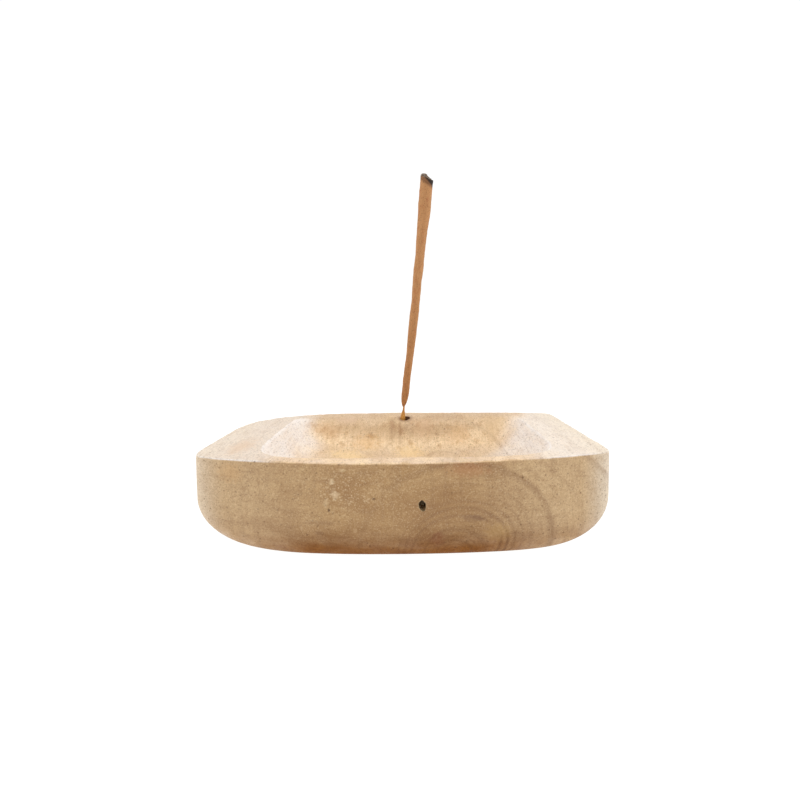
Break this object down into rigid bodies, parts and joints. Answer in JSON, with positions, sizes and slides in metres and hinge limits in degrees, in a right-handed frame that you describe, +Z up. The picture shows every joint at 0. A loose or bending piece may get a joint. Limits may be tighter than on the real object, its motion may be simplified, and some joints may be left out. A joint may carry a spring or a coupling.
{
  "type": "incense burner",
  "caption": "Carved wooden incense burner: a squarish bowed block with an ash hollow and a leaning, half-burnt incense stick that lifts out of its hole.",
  "frame": {"origin": "on the surface it stands on, under the middle of the block", "axes": "+Z up; -Y is the bowed front face, with the ash hollow open upwards and the stick at the back; +X to the right"},
  "size_m": [0.12, 0.1105, 0.1211],
  "materials": {
    "dish_wood": "pale, fine-grained, sanded and lightly waxed",
    "bamboo": "golden split bamboo",
    "incense": "dry hand-rolled wood powder paste",
    "char": "charred, dull",
    "ash": "powdery ash"
  },
  "bodies": {
    "dish": {"dish": "dish_wood"},
    "stick": {"splint": "bamboo", "incense_paste": "incense", "charred_collar": "char", "ash_tip": "ash"}
  },
  "joints": [
    {"name": "stick_pull", "type": "slide", "parent": "dish", "child": "stick", "axis": [0.1098, -0.1726, 0.9789], "range_m": [0, 0.03]}
  ]
}
